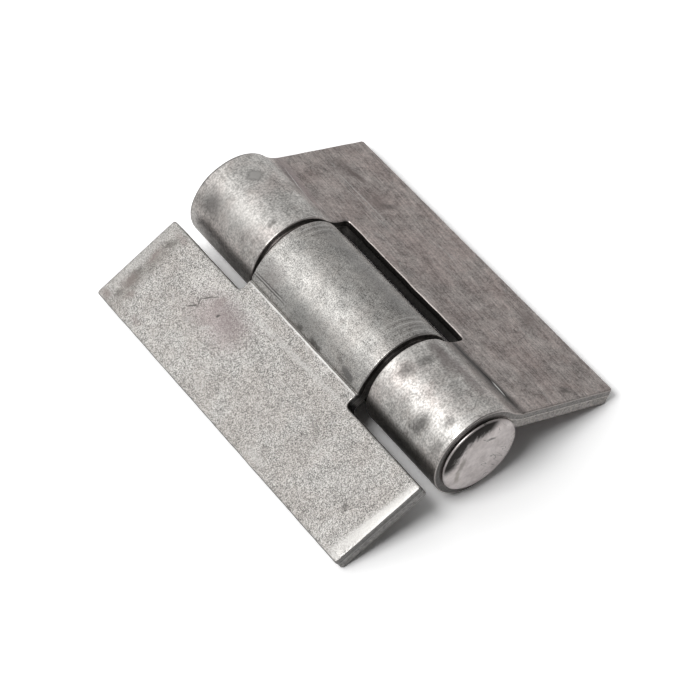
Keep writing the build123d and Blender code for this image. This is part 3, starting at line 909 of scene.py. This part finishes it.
def pin_mesh():
    """Round bar with a hammered head on each end, slightly out of round."""
    half = HALF_LENGTH + HEAD_H
    flat_r = HEAD_R - HEAD_FACE_ROUND
    section = [(half, r) for r in np.arange(0.0, flat_r, 0.5)]
    for angle in np.linspace(0, pi / 2, 16):
        drop = HEAD_SIDE_ROUND * (1 - cos(angle))
        section.append((half - drop, flat_r + HEAD_FACE_ROUND * sin(angle)))
    section += [(HALF_LENGTH + HEAD_UNDERCUT, HEAD_R), (HALF_LENGTH, HEAD_R - HEAD_UNDERCUT)]
    section += [(HALF_LENGTH, PIN_R + SHANK_EASE), (HALF_LENGTH - SHANK_EASE, PIN_R)]
    section += [(y, PIN_R) for y in np.linspace(HALF_LENGTH - 2, 0, 12)]
    section += [(-y, r) for y, r in section[-2::-1]]
    coords, faces = [], []
    for y, r in section[1:-1]:
        for k in range(PIN_TURNS):
            a = 2 * pi * k / PIN_TURNS
            round_r, lift = r, 0.0
            if abs(y) > HALF_LENGTH:
                side = 1 if y > 0 else -1
                lobes = noise.noise(Vector((cos(a) * 1.6, sin(a) * 1.6, 5 * side)))
                round_r = r * (1 + OUT_OF_ROUND * lobes)
                dents = noise.noise(Vector((cos(a) * r / DENT_SIZE, sin(a) * r / DENT_SIZE, 9 * side)))
                lift = -DENT_DEPTH * (1 + dents) * side * min(1.0, (abs(y) - HALF_LENGTH) / 0.4)
            coords.append((round_r * cos(a), y + lift, round_r * sin(a)))
    rings = len(section) - 2
    for i in range(rings - 1):
        for k in range(PIN_TURNS):
            a, b = i * PIN_TURNS + k, i * PIN_TURNS + (k + 1) % PIN_TURNS
            faces.append((a, b, b + PIN_TURNS, a + PIN_TURNS))
    first, last = len(coords), len(coords) + 1
    coords += [(0, half - DENT_DEPTH, 0), (0, DENT_DEPTH - half, 0)]
    faces += [(first, (k + 1) % PIN_TURNS, k) for k in range(PIN_TURNS)]
    base = (rings - 1) * PIN_TURNS
    faces += [(last, base + k, base + (k + 1) % PIN_TURNS) for k in range(PIN_TURNS)]
    mesh = bpy.data.meshes.new("riveted_pin")
    mesh.from_pydata(coords, [], faces)
    mesh.transform(Matrix.Translation((0, 0, AXIS_HEIGHT * MM)) @ Matrix.Scale(MM, 4))
    mesh.materials.append(pin_steel)
    return mesh


add_piece("riveted_pin", pin_mesh(), "fixed_leaf", "pin")

# Floor, light and camera

FLOOR_HALF = 3.0
floor_mesh = bpy.data.meshes.new("floor")
floor_mesh.from_pydata(
    [(x * FLOOR_HALF, y * FLOOR_HALF, 0) for x, y in ((-1, -1), (1, -1), (1, 1), (-1, 1))],
    [], [(0, 1, 2, 3)])
floor = bpy.data.objects.new("floor", floor_mesh)
bpy.context.scene.collection.objects.link(floor)
paper = bpy.data.materials.new("white paper")
paper.use_nodes = True
n = Nodes(paper.node_tree)
seen = n.add("ShaderNodeLightPath", {}).outputs
mirrored = n.maths("MAXIMUM", seen["Is Glossy Ray"], seen["Is Transmission Ray"])
PAPER_WHITE = (0.30, 0.30, 0.30, 1)
MIRRORED_WHITE = (0.80, 0.80, 0.80, 1)
SHOWN_WHITE = (1.32, 1.32, 1.32, 1)
white = n.mix(mirrored, PAPER_WHITE, MIRRORED_WHITE)
white = n.mix(seen["Is Camera Ray"], white, SHOWN_WHITE)
matt = n.add("ShaderNodeBsdfDiffuse", {"Color": white})
n.tree.links.new(matt.outputs[0], n.tree.nodes["Material Output"].inputs["Surface"])
n.tree.nodes.remove(n.tree.nodes["Principled BSDF"])
floor_mesh.materials.append(paper)


def soft_lamp(name, way, distance, size, power):
    lamp = bpy.data.lights.new(name, "AREA")
    lamp.shape = "DISK"
    lamp.size = size
    lamp.energy = power
    holder = bpy.data.objects.new(name, lamp)
    holder.location = Vector(way) * distance
    holder.rotation_mode = "QUATERNION"
    holder.rotation_quaternion = (-Vector(way)).to_track_quat("-Z", "Y")
    bpy.context.scene.collection.objects.link(holder)


OVERHEAD = Vector((-0.50, 0.0, 0.866)).normalized()
LAMP_DISTANCE, LAMP_SIZE, LAMP_POWER = 1.0, 0.54, 5.6
soft_lamp("overhead", OVERHEAD, LAMP_DISTANCE, LAMP_SIZE, LAMP_POWER)

# Room: brightest high on the left behind the hinge, even behind it, dim on the camera side
world = bpy.data.worlds.new("studio")
bpy.context.scene.world = world
world.use_nodes = True
n = Nodes(world.node_tree)
way = n.add("ShaderNodeTexCoord", {}).outputs["Generated"]
BRIGHTEST = Vector((-0.38, 0.60, 0.71)).normalized()
GLOW_FOCUS = 10.0
FRONT_SKY, BACK_SKY, HIGH_GLOW = 0.11, 0.47, 0.90
SKY_TURNS = (-0.15, 0.25)
facing = n.add("ShaderNodeVectorMath", {0: way, 1: BRIGHTEST}, operation="DOT_PRODUCT").outputs["Value"]
glow = n.maths("POWER", n.maths("MAXIMUM", facing, 0.0), GLOW_FOCUS)
light = n.maths("ADD", FRONT_SKY, n.maths("MULTIPLY", glow, HIGH_GLOW))
behind = n.smooth(n.split(way)["Y"], *SKY_TURNS)
light = n.maths("ADD", light, n.maths("MULTIPLY", behind, BACK_SKY))
n.tree.links.new(n.join(light, light, light), n.tree.nodes["Background"].inputs["Color"])

CAMERA_PLACE = Vector((-0.176493, -0.26125, 0.40603))
FOCAL_LENGTH, SENSOR_WIDTH = 142.406, 36
YAW, PITCH, ROLL = radians(33.9972), radians(52.1704), radians(-2.6843)
forward = Vector((sin(YAW) * cos(PITCH), cos(YAW) * cos(PITCH), -sin(PITCH)))
level = Vector((cos(YAW), -sin(YAW), 0))
above = level.cross(forward)
right = level * cos(ROLL) + above * sin(ROLL)
top = above * cos(ROLL) - level * sin(ROLL)
lens = bpy.data.cameras.new("camera")
lens.lens = FOCAL_LENGTH
lens.sensor_width = SENSOR_WIDTH
lens.clip_start = 0.01
camera = bpy.data.objects.new("camera", lens)
turned = Matrix((right, top, -forward)).transposed().to_4x4()
camera.matrix_world = Matrix.Translation(CAMERA_PLACE) @ turned
bpy.context.scene.collection.objects.link(camera)
bpy.context.scene.camera = camera
bpy.context.scene.view_settings.view_transform = "Standard"
